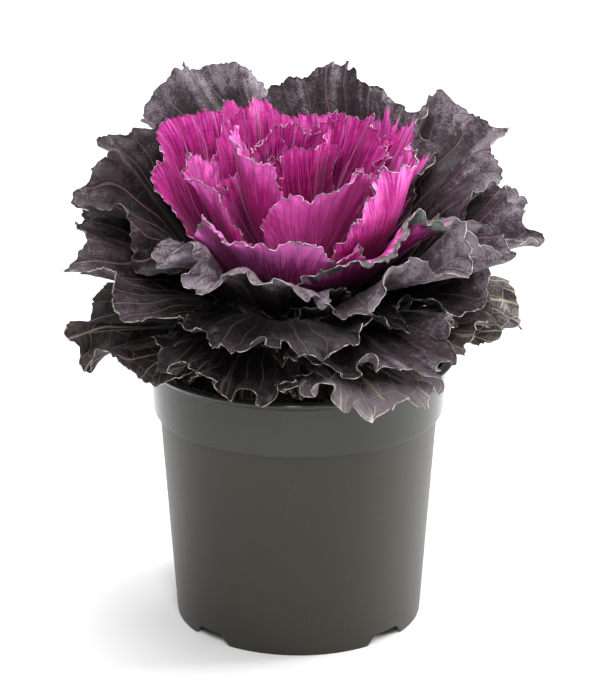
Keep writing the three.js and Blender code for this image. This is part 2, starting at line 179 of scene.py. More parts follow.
class Wire:
    """A number on a node tree, with arithmetic."""

    def __init__(self, tree, socket):
        self.tree = tree
        self.socket = socket

    def math(self, operation, *others):
        node = self.tree.nodes.new("ShaderNodeMath")
        node.operation = operation
        for slot, value in zip(node.inputs, (self, *others)):
            plug(self.tree, slot, value)
        return Wire(self.tree, node.outputs[0])

    def __add__(self, other):
        return self.math("ADD", other)

    def __sub__(self, other):
        return self.math("SUBTRACT", other)

    def __mul__(self, other):
        return self.math("MULTIPLY", other)

    def __truediv__(self, other):
        return self.math("DIVIDE", other)

    def abs(self):
        return self.math("ABSOLUTE")

    def max(self, other):
        return self.math("MAXIMUM", other)

    def ramp(self, low, high, start=0.0, end=1.0):
        """Smooth step from start at low to end at high."""
        node = self.tree.nodes.new("ShaderNodeMapRange")
        node.interpolation_type = "SMOOTHSTEP"
        for slot, value in zip(node.inputs, (self, low, high, start, end)):
            plug(self.tree, slot, value)
        return Wire(self.tree, node.outputs[0])


def plug(tree, slot, value):
    """Links a wire to a socket, or sets the socket's own value."""
    if isinstance(value, Wire):
        tree.links.new(value.socket, slot)
    elif isinstance(value, tuple) and len(value) == 3 and slot.type == "RGBA":
        slot.default_value = (*value, 1)
    else:
        slot.default_value = value


def node(tree, kind, settings=(), **inputs):
    """A new node with those settings, and those values or wires on its sockets."""
    made = tree.nodes.new(kind)
    for key, value in dict(settings).items():
        setattr(made, key, value)
    for key, value in inputs.items():
        plug(tree, made.inputs[key.replace("_", " ")], value)
    return made


def attribute(tree, name):
    return Wire(tree, node(tree, "ShaderNodeAttribute", {"attribute_name": name}).outputs["Fac"])


def vector(tree, x, y, z=0.0):
    return Wire(tree, node(tree, "ShaderNodeCombineXYZ", X=x, Y=y, Z=z).outputs[0])


def object_position(tree):
    return Wire(tree, node(tree, "ShaderNodeTexCoord").outputs["Object"])


def noise(tree, at, scale, detail=2.0, rough=0.5, dimensions="3D"):
    made = node(tree, "ShaderNodeTexNoise", {"noise_dimensions": dimensions}, Vector=at, Scale=scale,
                Detail=detail, Roughness=rough)
    return Wire(tree, made.outputs["Fac"])


def cell_edges(tree, at, scale, random=1.0):
    """Distance to the nearest edge between flat cells."""
    settings = {"feature": "DISTANCE_TO_EDGE", "voronoi_dimensions": "2D"}
    made = node(tree, "ShaderNodeTexVoronoi", settings, Vector=at, Scale=scale, Randomness=random)
    return Wire(tree, made.outputs["Distance"])


def blend(tree, share, a, b):
    """Colour a where share is 0, colour b where it is 1."""
    made = node(tree, "ShaderNodeMix", {"data_type": "RGBA", "clamp_factor": True})
    plug(tree, made.inputs[0], share)
    plug(tree, made.inputs[6], a)
    plug(tree, made.inputs[7], b)
    return Wire(tree, made.outputs[2])


def blend_number(tree, share, a, b):
    """Number a where share is 0, number b where it is 1."""
    made = node(tree, "ShaderNodeMix", {"data_type": "FLOAT"})
    plug(tree, made.inputs[0], share)
    plug(tree, made.inputs[2], a)
    plug(tree, made.inputs[3], b)
    return Wire(tree, made.outputs[0])


def three_colours(tree, share, dark, middle, light):
    low = blend(tree, share.ramp(0.0, 0.5), dark, middle)
    return blend(tree, share.ramp(0.5, 1.0), low, light)


def new_material(name):
    material = bpy.data.materials.new(name)
    material.use_nodes = True
    tree = material.node_tree
    shader = tree.nodes["Principled BSDF"]
    return material, tree, shader


def finish_surface(tree, shader, colour, roughness, height, distance):
    """Colour, roughness and a bump of that many metres on the shader."""
    plug(tree, shader.inputs["Base Color"], colour)
    plug(tree, shader.inputs["Roughness"], roughness)
    bump = node(tree, "ShaderNodeBump", Strength=1.0, Distance=distance, Height=height)
    tree.links.new(bump.outputs[0], shader.inputs["Normal"])


# Radians between the main veins, which fan out from the leaf's base.
VEIN_STEP = 0.30
LEAF_ROUGHNESS = 0.5
# Metres of relief on a leaf's skin: veins sunk in, and grain.
LEAF_RELIEF = 0.0007


def vein_lines(tree, x, y, green):
    """Shares of the main veins, their forks, the net between and its finest mesh.

    x and y are the flat leaf's coordinates in millimetres. Green leaves have bolder veins.
    """
    bold = green * 0.25 + 1.0
    sway = noise(tree, vector(tree, x, y), 0.035, 1.0, dimensions="2D") - 0.5
    radius = (x * x + y * y).math("SQRT")
    angle = x.math("ARCTAN2", y) + sway * 0.12

    def lines(offset, width):
        """Lines along the fan: offset in radians, width in millimetres from the middle of a line."""
        away = ((angle + offset) / VEIN_STEP).math("FRACT") - 0.5
        return (away.abs() * radius * VEIN_STEP / bold).ramp(width * 0.35, width, 1.0, 0.0)

    fork = radius.ramp(12.0, 34.0) * (VEIN_STEP / 2)
    twig = radius.ramp(30.0, 52.0) * (VEIN_STEP / 4)
    main = lines(0.0, radius.ramp(10.0, 75.0, 0.75, 0.3))
    forks = lines(fork, 0.42).max(lines(twig, 0.34)).max(lines(fork + twig, 0.34))
    midrib = (x.abs() - radius.ramp(0.0, 80.0, 1.5, 0.25)).ramp(-0.3, 0.05, 1.0, 0.0)
    warped = vector(tree, x + sway * 9.0, y + sway * 7.0)
    net = cell_edges(tree, warped, 0.12).ramp(0.007, 0.030, 1.0, 0.0)
    fine = cell_edges(tree, warped, 0.42).ramp(0.02, 0.12, 1.0, 0.0)
    return midrib.max(main), forks, net, fine


def leaf_material(name, dark, middle, light, faint_vein, rim, rim_width, rim_share):
    """One leaf skin. The values at each vertex, named in LEAF_VALUES, say where and what leaf it is."""
    material, tree, shader = new_material(name)
    x = attribute(tree, "flat_x")
    y = attribute(tree, "flat_y")
    rim_away = attribute(tree, "rim")
    under = attribute(tree, "under")
    tone_and_shade = attribute(tree, "tone_and_shade")
    green = attribute(tree, "green")
    flush = attribute(tree, "flush")
    veined = attribute(tree, "veined")
    depth = attribute(tree, "depth")
    place = object_position(tree)
    main, forks, net, fine = vein_lines(tree, x, y, green)
    fan = x.math("ARCTAN2", y)

    cloudy = noise(tree, place, 45.0, 4.0, 0.6)
    mottle = noise(tree, place, 260.0, 3.0, 0.6)
    streaks = noise(tree, vector(tree, fan * 22.0, y * 0.04), 1.0, 3.0, 0.6, "2D")
    hair_streaks = noise(tree, vector(tree, fan * 95.0, y * 0.07), 1.0, 1.0, 0.5, "2D")
    specks = noise(tree, place, 1200.0, 3.0, 0.7)
    grain = (cloudy - 0.5) * 0.6 + (mottle - 0.5) * 0.8 + (specks - 0.5) * 1.1 + (streaks - 0.5) * 0.8

    # Dark skin: dusty towards the margin and greyer on the underside. Depth paints shade on it, down to black
    # deep among the leaves towards the stem, and each leaf's tone adds painted shade where it lies under
    # others.
    bloom = rim_away.ramp(1.0, 22.0, 0.24, 0.0)
    share = grain + tone_and_shade + bloom + under * 0.06 - depth * 0.75 + 0.42
    colour = three_colours(tree, share, dark, middle, light)
    colour = blend(tree, green * mottle.ramp(0.45, 0.8) * 0.2, colour, (0.040, 0.050, 0.024))

    # Magenta spreads from the base as far as "flush" millimetres from the margin, in streaks. It darkens
    # towards
    # the stem and away from the margin: partly the leaf's own deeper base, partly painted shade between the
    # leaves.
    pink_light = (grain * 0.35 + (hair_streaks - 0.5) * 1.1 + tone_and_shade + 0.44 - depth * 0.55
                  + rim_away.ramp(0.0, 20.0, 0.42, 0.0))
    pinks = three_colours(tree, pink_light, (0.16, 0.002, 0.060), (0.50, 0.022, 0.26), (0.86, 0.170, 0.62))
    streak = (streaks - 0.5) * 26.0 + (mottle - 0.5) * 5.0
    patchy = noise(tree, place, 210.0, 1.0).ramp(0.50, 0.60)
    dark_margin = flush * blend_number(tree, flush.ramp(2.0, 5.0), patchy, 1.0)
    pink_share = (rim_away + streak * flush.ramp(0.5, 6.0) - dark_margin).ramp(-0.3, 0.6)
    colour = blend(tree, pink_share, colour, pinks)

    lines = (main * 0.85).max(forks * 0.6).max(net * green * 0.8).max(fine * green * 0.12)
    # Veins fade with depth: painted shade deep among the leaves.
    vein_share = lines * veined * (depth * -0.6 + 1.0)
    dark_skin_vein = blend(tree, green, faint_vein, (0.58, 0.56, 0.37))
    vein_colour = blend(tree, pink_share, dark_skin_vein, (0.88, 0.30, 0.66))
    colour = blend(tree, vein_share, colour, vein_colour)

    # A thin pale line along the margin, broken, and hardly there on the highest leaves.
    broken = noise(tree, place, 330.0, 1.0).ramp(0.44, 0.62)
    line = (rim_away + (mottle - 0.5) * 0.8).ramp(rim_width * 0.4, rim_width, 1.0, 0.0)
    rim_strength = attribute(tree, "rimmed") * blend_number(tree, broken, rim_share, 1.0)
    colour = blend(tree, line * rim_strength, colour, rim)

    height = (cloudy * 0.4 + mottle * 0.35 + streaks * 0.3
              - (main * 0.9).max(forks * 0.6).max(net * (green * 0.25 + 0.2)))
    rough = grain * -0.15 + LEAF_ROUGHNESS
    finish_surface(tree, shader, colour, rough, height, LEAF_RELIEF)
    shader.inputs["Sheen Weight"].default_value = 0.05
    shader.inputs["Sheen Roughness"].default_value = 0.4
    shader.inputs["Specular IOR Level"].default_value = 0.28
    return material


outer_skin = leaf_material(
    "kale_outer_leaf",
    dark=(0.0055, 0.0034, 0.0037), middle=(0.044, 0.031, 0.036), light=(0.235, 0.195, 0.232),
    faint_vein=(0.26, 0.13, 0.17), rim=(0.55, 0.50, 0.43), rim_width=0.42, rim_share=0.15)
heart_skin = leaf_material(
    "kale_heart_leaf",
    dark=(0.012, 0.017, 0.013), middle=(0.065, 0.085, 0.070), light=(0.20, 0.23, 0.20),
    faint_vein=(0.42, 0.30, 0.36), rim=(0.82, 0.60, 0.72), rim_width=0.4, rim_share=0.0)

# ------------------------------------------------------------------ the rule of the leaves


def up_the_stem(name, i):
    return float(np.interp(i, UP_THE_STEM["leaf"], UP_THE_STEM[name]))


def bend(x, y, z):
    """Moves points of the upright plant to where they are in the leaning one."""
    radius = np.hypot(x, y)
    reach = ease(radius, 12, 52)
    k = 2 * math.pi / 75
    swell = 2.6 * reach
    px = x + swell * np.sin(k * (y + 0.6 * z) + 1)
    py = y + swell * np.sin(k * (0.5 * z - x) + 2.2)
    pz = z + swell * ease(z, 118, 143) * np.sin(1.15 * k * (x + 0.7 * y) + 0.4)
    back = (py + np.hypot(py, 20)) / 2
    front = py - back
    pz = pz + ease(radius, 40, 80) * (0.18 * back + 0.17 * front * ease(pz, 125, 170))
    inner = (1 - ease(radius, 5, 45)) * ease(pz, 135, 185)
    px = px + HEART_SHIFT_X * inner
    py = py + HEART_SHIFT_Y * inner
    lean = np.radians(LEAN_AT_SOIL + (LEAN_AT_TOP - LEAN_AT_SOIL) * ease(pz, 112, 172))
    above = pz - SOIL_HEIGHT
    return np.stack([px, py * np.cos(lean) - above * np.sin(lean),
                     SOIL_HEIGHT + above * np.cos(lean) + py * np.sin(lean)], -1)


def leaf_spec(i):
    """Everything that sets leaf number i apart, in the CAD model's order of random draws."""
    draw = seeded_random(1000 * SEED + i)
    further, length_factor, rise, width_factor, roll_factor = OFF_RULE.get(i, (0, 1, 0, 1, 1))
    outer = i < OUTER_LEAVES
    azimuth = FIRST_HEART_AZIMUTH + (i - OUTER_LEAVES) * GOLDEN_ANGLE + (draw() - 0.5) * 8 + further
    length = up_the_stem("length", i) * length_factor * (1 + (draw() - 0.5) * 0.08)
    phase = [draw() * 2 * math.pi for _ in range(6)]
    return {
        "number": i,
        "azimuth": math.radians(azimuth),
        "length": length,
        "phase": phase,
        "waves": (5.4 if outer else 3.8) + 1.2 * draw(),
        "twist": 4 * (draw() - 0.5),
        "fold_phase": FOLD_DRIFT * i,
        "fold_depth": FOLD_DEPTH * (1 if outer else HEART_FOLD_SHARE),
        "roll": MARGIN_ROLL * roll_factor * (1 if outer else 0.6),
        "base_height": up_the_stem("base_height", i),
        "base_radius": up_the_stem("base_radius", i),
        "base_angle": math.radians(up_the_stem("base_angle", i)),
        "tip_angle": math.radians(up_the_stem("tip_angle", i) + rise),
        "half_width": up_the_stem("half_width", i) * width_factor,
        "fan": math.radians(up_the_stem("fan", i)),
        "petiole": up_the_stem("petiole", i),
        "thickness": up_the_stem("thickness", i),
        "ruffle": up_the_stem("ruffle", i),
    }


def leaf_sheet(leaf, u, v):
    """Middle surface of a leaf, and the flat leaf's coordinates, at u from stem to margin and v across."""
    phase = leaf["phase"]
    q = np.maximum(0, (u - PETIOLE_SHARE) / (1 - PETIOLE_SHARE))
    wave = leaf["waves"] * math.pi * v + 0.7 * np.sin(2.3 * math.pi * v + phase[1])
    half_length = (leaf["length"] - leaf["petiole"]) / 1.82
    lobe = 1 + 0.04 * np.sin(wave + phase[2])
    margin_along = leaf["petiole"] + half_length * (0.82 + np.cos(v * leaf["fan"]) * lobe)
    margin_across = leaf["half_width"] * np.sin(v * leaf["fan"]) * lobe
    along = np.where(u < PETIOLE_SHARE, leaf["petiole"] * u / PETIOLE_SHARE,
                     leaf["petiole"] + (margin_along - leaf["petiole"]) * q ** 0.9)
    across = v * NECK_HALF_WIDTH * (1 - q) + margin_across * q ** 1.15

    turn = (leaf["tip_angle"] - leaf["base_angle"]) / leaf["length"]
    slope = leaf["base_angle"] + turn * along
    radius = leaf["base_radius"] + (np.sin(slope) - math.sin(leaf["base_angle"])) / turn
    height = leaf["base_height"] - (np.cos(slope) - math.cos(leaf["base_angle"])) / turn

    middle = np.cos(math.pi / 2 * np.minimum(1, 1.3 * np.abs(v))) ** 2
    room = np.maximum(0, along / leaf["length"]) ** 1.3 * (1 + CENTRE_ROOM * middle)
    swing = 0.8 + 0.2 * np.sin(1.7 * math.pi * v + phase[3])
    ruffle = leaf["ruffle"] * swing * q ** 2.8 * np.sin(wave + phase[0])
    azimuth = leaf["azimuth"] + WRAP_LIMIT * np.tanh(across / (np.maximum(radius, 6) * WRAP_LIMIT))
    fold_angle = FOLD_COUNT * azimuth + 0.9 * np.sin(3 * azimuth + 1) + leaf["fold_phase"]
    fold = leaf["fold_depth"] * ease(along, 35, 95) * np.sin(fold_angle)
    off = fold + room * (ruffle + leaf["twist"] * v * q - leaf["roll"] * q ** 4)
    r = radius - off * np.sin(slope)
    return bend(r * np.cos(azimuth), r * np.sin(azimuth), height + off * np.cos(slope)), across, along


# ------------------------------------------------------------------ fine leaves

# Rows of vertices from the stem to the margin: u, and the vertices across.
LEAF_ROWS = [(0, 9), (0.05, 9), (0.11, 9), (0.17, 11), (0.22, 13), (0.28, 25), (0.35, 41), (0.42, 61),
             (0.49, 61), (0.56, 81), (0.62, 81), (0.68, 121), (0.73, 121), (0.775, 121), (0.815, 161),
             (0.85, 161), (0.88, 241), (0.905, 241), (0.928, 301), (0.948, 301), (0.965, 361), (0.979, 361),
             (0.99, 361), (1, 361)]
BUD_ROWS = [(0, 7), (0.12, 7), (0.25, 11), (0.4, 21), (0.52, 31), (0.63, 41), (0.73, 61), (0.82, 81),
            (0.89, 101), (0.95, 121), (1, 121)]


def sheet_triangles(counts):
    """Triangles of a sheet whose rows of vertices may differ in number, and its vertices round the edge."""
    starts = np.concatenate([[0], np.cumsum(counts)]).tolist()
    triangles = []
    for k in range(len(counts) - 1):
        a, b = 0, 0
        while a < counts[k] - 1 or b < counts[k + 1] - 1:
            here, there = starts[k] + a, starts[k + 1] + b
            if (a + 1) / (counts[k] - 1) <= (b + 1) / (counts[k + 1] - 1):
                triangles.append((here, there, here + 1))
                a += 1
            else:
                triangles.append((here, there, there + 1))
                b += 1
    last = len(counts) - 1
    edge = list(range(starts[0], starts[1]))
    edge += [starts[k + 1] - 1 for k in range(1, last)]
    edge += list(range(starts[last + 1] - 1, starts[last] - 1, -1))
    edge += [starts[k] for k in range(last - 1, 0, -1)]
    return np.array(triangles), edge


def wander(random, t, wavelength, strands=4):
    """A wave along t that is never regular, within about -1 to 1."""
    total = 0
    for _ in range(strands):
        own = wavelength * random.uniform(0.72, 1.45)
        total = total + np.sin(2 * math.pi * t / own + random.uniform(0, 2 * math.pi))
    return total / strands ** 0.6


# Steps along a margin when its length is measured.
MARGIN_STEPS = 600


def fine_leaf(leaf, rows, triangles, frill, teeth, blade):
    """Points of both faces of a leaf with its frills, and what its material needs to know.

    Frills lift the sheet and teeth push it outwards, both by millimetres. Each dies away over the
    millimetres given to near(), and repeats about every so many millimetres given to wander().
    """
    random = np.random.default_rng(100 + leaf["number"])
    counts = [count for _, count in rows]
    u = np.concatenate([np.full(count, at) for at, count in rows])
    v = np.concatenate([np.linspace(-1, 1, count) for count in counts])
    step = 1e-3
    sheet, across, along = leaf_sheet(leaf, u, v)
    e_u = unit(leaf_sheet(leaf, u + step, v)[0] - leaf_sheet(leaf, u - step, v)[0])
    e_v = unit(leaf_sheet(leaf, u, v + step)[0] - leaf_sheet(leaf, u, v - step)[0])
    up = unit(np.cross(e_u, e_v))

    # t is the length along the margin from the leaf's middle, rim the distance in from it.
    round_v = np.linspace(-1, 1, MARGIN_STEPS + 1)
    margin = leaf_sheet(leaf, np.ones_like(round_v), round_v)[0]
    length = np.concatenate([[0], np.cumsum(np.linalg.norm(np.diff(margin, axis=0), axis=1))])
    t = np.interp(v, round_v, length - length[MARGIN_STEPS // 2])
    rim = np.linalg.norm(leaf_sheet(leaf, np.ones_like(u), v)[0] - sheet, axis=1)

    def near(reach):
        return 1 - ease(rim, 0, reach)

    # Big frills also swing sideways at twice their beat, which makes them loop.
    calm = CALM.get(leaf["number"], 1.0)
    big = 2 * math.pi * t / (17 * frill["size"]) + 0.9 * wander(random, t, 50) + leaf["phase"][4]
    strength = 0.65 + 0.55 * wander(random, t, 40)
    lift = calm * frill["big"] * near(12 * frill["size"]) * strength * np.sin(big)
    small = (0.4 + 0.6 * calm) * frill["small"] * near(6) * (0.7 + 0.5 * wander(random, t, 30))
    lift = lift + small * wander(random, t, 7)
    lift = lift + frill["tiny"] * near(3.5) * wander(random, t, 3)
    pucker = wander(random, across * 0.9 + along * 0.5, 9) * wander(random, along - across * 0.4, 10)
    lift = lift + frill["pucker"] * ease(along, 20, 45) * pucker
    swing = -calm * frill["loop"] * near(12 * frill["size"]) * np.sin(2 * big)
    out = (0.3 + 0.7 * calm) * teeth["lobe"] * near(12) * wander(random, t, 11)
    out = out + teeth["tooth"] * near(4) * wander(random, t, 3, 3)
    end = 1 - ease(np.abs(v), 0.9, 1)
    middle = sheet + up * (lift * end)[:, None] + e_v * (swing * end)[:, None] + e_u * (out * end)[:, None]

    # Normals of the frilled sheet, then the two faces, thicker at the midrib and thinner at the margin.
    corner = middle[triangles]
    face_normal = np.cross(corner[:, 1] - corner[:, 0], corner[:, 2] - corner[:, 0])
    normal = np.zeros_like(middle)
    for k in range(3):
        np.add.at(normal, triangles[:, k], face_normal)
    normal = unit(normal)
    stalk = 1 - ease(u, 0.15, 0.9)
    rib = 0.5 * leaf["thickness"] * stalk * np.exp(-(across / 1.9) ** 2)
    half = 0.5 * blade * (1 - 0.45 * near(3))
    top = middle + normal * (half + 0.4 * rib)[:, None]
    bottom = middle - normal * (half + 1.1 * rib)[:, None]
    return top, bottom, across, along, rim


# Looks up the stem, by leaf number. Tone: darker below 0, lighter above; partly each leaf's own tone, partly
# painted shade on low and inner leaves that lie under others. Green: share of pale green veins.
# Veined: strength of the veins. Rimmed: strength of the pale line along the margin.
LOOKS = {
    "leaf": [0, 4, 8, 12, 16, 20, 23, 24, 37, 49],
    "tone_and_shade": [-0.25, 0.0, -0.2, -0.1, 0.1, 0.0, 0.05, 0.1, -0.45, -0.6],
    "green": [1, 0.7, 0.4, 0.2, 0.05, 0, 0, 0, 0, 0],
    "veined": [0.8, 0.9, 0.6, 0.5, 0.65, 0.65, 0.6, 0.45, 0.35, 0.25],
    "rimmed": [1, 1, 0.8, 0.8, 0.6, 0.8, 0.7, 0.8, 0.7, 0.4],
}
# The same for single leaves that differ; the darkest tones paint shade on leaves low at the front and in the
# heart's centre. Flush: millimetres of margin that stay dark on a leaf with magenta.
LOOKS_OF_ONE = {
    "tone_and_shade": {1: -0.35, 2: 0.0, 4: 0.5, 6: -0.35, 9: -0.5, 11: -0.35, 12: 0.0, 14: -0.12, 16: 0.12, 17: -0.5,
             18: 0.12, 19: -0.18, 20: 0.15, 21: -0.04, 22: 0.15, 24: -0.27, 26: -0.22, 27: 0.2, 28: -0.05,
             29: -0.3, 30: 0.0, 31: -0.3, 33: 0.65, 34: -0.45, 35: 0.15, 36: -0.3},
    "green": {2: 1.0, 4: 1.0, 6: 0.4, 9: 0.15, 11: 0.1},
    "veined": {9: 0.35, 12: 0.4, 17: 0.3},
    "rimmed": {16: 0.15, 21: 0.15, 13: 0.2, 18: 0.3, 19: 0.3, 11: 0.4, 23: 0.8},
    "flush": {23: 7.0, 25: 7.0, 27: 1.4, 28: 0.8, 30: 0.7, 33: 0.6},
}
ALL_DARK = 200.0
ALL_MAGENTA = -4.0
# Values at each vertex that the leaf material reads. The flat leaf's coordinates and the distance in from
# its margin are in millimetres. Under is 1 on the underside, and depth is 1 at the stem: it paints shade,
# darkest deep among the leaves.
LEAF_VALUES = ("flat_x", "flat_y", "rim", "under", "tone_and_shade", "green", "veined", "rimmed", "flush", "depth")

# Share of the frills on the leaves that have fewer.
CALM = {0: 0.7, 1: 0.2, 2: 0.5, 3: 0.7, 5: 0.6, 6: 0.25, 7: 0.5, 8: 0.7, 10: 0.6, 13: 0.6, 14: 0.35,
        15: 0.6, 16: 0.25, 17: 0.7, 18: 0.3, 19: 0.5, 20: 0.65, 21: 0.25, 22: 0.85, 23: 0.6, 24: 0.6,
        29: 0.4}
# Millimetres of each kind of frill and tooth. Size: spacing and reach of the big frills, 1 on outer leaves.
OUTER_FRILL = {"size": 1.0, "big": 2.6, "small": 0.9, "tiny": 0.25, "pucker": 0.35, "loop": 2.0}
HEART_FRILL = {"size": 0.6, "big": 1.1, "small": 0.8, "tiny": 0.4, "pucker": 0.3, "loop": 0.5}
BUD_FRILL = {"size": 0.5, "big": 0.6, "small": 0.6, "tiny": 0.35, "pucker": 0.15, "loop": 0.3}
OUTER_TEETH = {"lobe": 2.2, "tooth": 0.4}
HEART_TEETH = {"lobe": 1.0, "tooth": 0.72}
BUD_TEETH = {"lobe": 0.6, "tooth": 0.5}
LEAF_BLADE = 0.6
BUD_BLADE = 0.5


def leaf_looks(i):
    """The looks of leaf number i, by name."""
    looks = {key: float(np.interp(i, LOOKS["leaf"], row)) for key, row in LOOKS.items() if key != "leaf"}
    looks["flush"] = ALL_DARK if i < OUTER_LEAVES else ALL_MAGENTA
    looks.update({key: single[i] for key, single in LOOKS_OF_ONE.items() if i in single})
    return looks


def leaf_piece(name, numbers, rows, skin, frill, teeth, blade):
    """One object with the leaves of those numbers: both faces, and the band that joins them at the edge."""
    triangles, edge = sheet_triangles([count for _, count in rows])
    edge = np.array(edge)
    following = np.roll(edge, -1)
    points = []
    faces = []
    values = {key: [] for key in LEAF_VALUES}
    start = 0
    for i in numbers:
        leaf = leaf_spec(i)
        top, bottom, across, along, rim = fine_leaf(leaf, rows, triangles, frill, teeth, blade)
        count = len(top)
        points += [top, bottom]
        band_a = np.stack([edge, edge + count, following + count], 1)
        band_b = np.stack([edge, following + count, following], 1)
        faces += [triangles + start, triangles[:, ::-1] + count + start, band_a + start, band_b + start]
        start += 2 * count

        # Depth: partly painted shade that deepens towards the stem, where the leaf lies under the others,
        # partly the leaf's own darker base.
        shaded = (0.35, 0.95) if i < OUTER_LEAVES else (0.25, 0.85)
        depth = 1 - ease(along / leaf["length"], *shaded)
        both_faces = {"flat_x": across, "flat_y": along, "rim": rim, "depth": depth, **leaf_looks(i)}
        for key, value in both_faces.items():
            values[key].append(np.tile(np.broadcast_to(value, count), 2))
        values["under"].append(np.repeat([0.0, 1.0], count))
    piece = add_mesh(name, np.concatenate(points), np.concatenate(faces), [skin])
    for key, parts in values.items():
        add_values(piece, key, np.concatenate(parts))
    return piece


def show_leaves(slot, first, count, skin, frill, teeth):
    """A piece for each leaf from number first on, in place of the CAD node of that leaf."""
    for k in range(count):
        cad_name = f"{slot}_{k + 1:02d}"
        piece = leaf_piece(f"fine_{cad_name}", [first + k], LEAF_ROWS, skin, frill, teeth, LEAF_BLADE)
        stands_for(piece, slot, cad_name)


show_leaves("outer_leaf", 0, OUTER_LEAVES, outer_skin, OUTER_FRILL, OUTER_TEETH)
show_leaves("heart_leaf", OUTER_LEAVES, HEART_LEAVES, heart_skin, HEART_FRILL, HEART_TEETH)
bud_start = OUTER_LEAVES + HEART_LEAVES
bud_numbers = range(bud_start, bud_start + BUD_LEAVES)
bud = leaf_piece("fine_heart_bud", bud_numbers, BUD_ROWS, heart_skin, BUD_FRILL, BUD_TEETH, BUD_BLADE)
stands_for(bud, "heart_leaf", "heart_bud")

# ------------------------------------------------------------------ pot, soil and stem


def pot_material():
    """Matt body and a smoother, bluer collar band, both with faint dust."""
    material, tree, shader = new_material("pot_plastic")
    place = object_position(tree)
    separate = node(tree, "ShaderNodeSeparateXYZ", Vector=place)
    z = Wire(tree, separate.outputs["Z"])
    band_foot_metres = (POT_HEIGHT - BAND_HEIGHT) / 1000
    band = z.ramp(band_foot_metres - 0.0005, band_foot_metres + 0.0005)
    cloudy = noise(tree, place, 22.0, 3.0)
    grain = noise(tree, place, 2600.0, 2.0)
    body = blend(tree, cloudy, (0.0190, 0.0165, 0.0110), (0.0285, 0.0255, 0.0175))
    collar = blend(tree, cloudy, (0.025, 0.0245, 0.023), (0.032, 0.0315, 0.030))
    dust = noise(tree, place, 900.0, 2.0).ramp(0.68, 0.78)
    colour = blend(tree, dust * 0.25, blend(tree, band, body, collar), (0.12, 0.115, 0.10))
    rough = blend_number(tree, band, grain * 0.10 + 0.36, grain * 0.05 + 0.16)
    finish_surface(tree, shader, colour, rough, grain * 0.5 + cloudy * 0.4, 0.00006)
    shader.inputs["Specular IOR Level"].default_value = 0.32
    return material


def soil_material(name, dark, light):
    material, tree, shader = new_material(name)
    place = object_position(tree)
    cloudy = noise(tree, place, 160.0, 5.0, 0.7)
    grit = noise(tree, place, 900.0, 3.0)
    finish_surface(tree, shader, blend(tree, cloudy.ramp(0.3, 0.75), dark, light), grit * 0.2 + 0.78,
                   cloudy + grit * 0.5, 0.0009)
    shader.inputs["Specular IOR Level"].default_value = 0.25
    return material


def turned(profile, sides):
    """Points and faces of a surface turned round the axis, from a profile of (radius, height)."""
    angles = np.arange(sides) * 2 * math.pi / sides
    profile = np.array(profile, float)
    points = np.stack([profile[:, 0, None] * np.cos(angles), profile[:, 0, None] * np.sin(angles),
                       np.broadcast_to(profile[:, 1, None], (len(profile), sides))], -1).reshape(-1, 3)
    faces = []
    for row in range(len(profile) - 1):
        for k in range(sides):
            a, b = row * sides + k, row * sides + (k + 1) % sides
            faces.append((a, b, b + sides, a + sides))
    return points, faces


def close_up(piece):
    """Joins the points that lie in one place, such as on a turned surface's axis, and turns all faces out."""
    shape = bmesh.new()
    shape.from_mesh(piece.data)
    bmesh.ops.remove_doubles(shape, verts=shape.verts, dist=1e-6)
    bmesh.ops.recalc_face_normals(shape, faces=shape.faces)
    shape.to_mesh(piece.data)
    shape.free()


POT_SIDES = 192
CURVE_POINTS = 5
SMALLEST_CURVE = 0.02


def rounded(profile, radii):
    """Profile with a curve at each inner corner, about as round as the radii, in the profile's order."""
    points = [np.array(profile[0], float)]
    for k in range(1, len(profile) - 1):
        before, here, after = (np.array(profile[j], float) for j in (k - 1, k, k + 1))
        a = unit(before - here)
        b = unit(after - here)
        half_angle = math.acos(np.clip(a @ b, -1, 1)) / 2
        room = 0.45 * min(np.linalg.norm(before - here), np.linalg.norm(after - here))
        reach = min(radii[k] / math.tan(half_angle), room) if radii[k] else 0
        if reach < SMALLEST_CURVE:
            points.append(here)
            continue
        start = here + a * reach
        end = here + b * reach
        for s in np.linspace(0, 1, CURVE_POINTS):
            points.append((1 - s) ** 2 * start + 2 * s * (1 - s) * here + s * s * end)
    points.append(np.array(profile[-1], float))
    return points


plastic = pot_material()
band_foot = POT_HEIGHT - BAND_HEIGHT
floor_top = FLOOR_HEIGHT + POT_WALL
# Radius, height and corner radius, from the foot ring's inside, up the outside and down the inside.
pot_profile = [
    (FOOT_RADIUS - FOOT_RING_WIDTH, FLOOR_HEIGHT, 0), (FOOT_RADIUS - FOOT_RING_WIDTH, 0, 0.3),
    (FOOT_RADIUS - 0.2, 0, 0.7), (FOOT_RADIUS, 1.2, 0.5), (BODY_TOP_RADIUS, band_foot - 0.8, 0.4),
    (BAND_FOOT_RADIUS, band_foot, 0.7), (BAND_TOP_RADIUS, POT_HEIGHT - 2.4 * LIP_HEIGHT, 1.2),
    (RIM_RADIUS - 0.6, POT_HEIGHT - LIP_HEIGHT, 0.5), (RIM_RADIUS, POT_HEIGHT - 0.5 * LIP_HEIGHT, 0.4),
    (RIM_RADIUS - 0.5, POT_HEIGHT, 0.4), (BAND_TOP_RADIUS, POT_HEIGHT, 0.8),
    (BAND_TOP_RADIUS - POT_WALL, POT_HEIGHT - 1.2 * LIP_HEIGHT, 0.6),
    (BAND_FOOT_RADIUS - POT_WALL, band_foot + 0.6, 0.5), (BODY_TOP_RADIUS - POT_WALL, band_foot - 1.2, 0.5),
    (FOOT_RADIUS - POT_WALL, floor_top, 1.5),
]
profile = [(0.0, FLOOR_HEIGHT)] + [(r, z) for r, z, _ in pot_profile] + [(0.0, floor_top)]
profile = rounded(profile, [0] + [radius for _, _, radius in pot_profile] + [0])
points, faces = turned(profile, POT_SIDES)
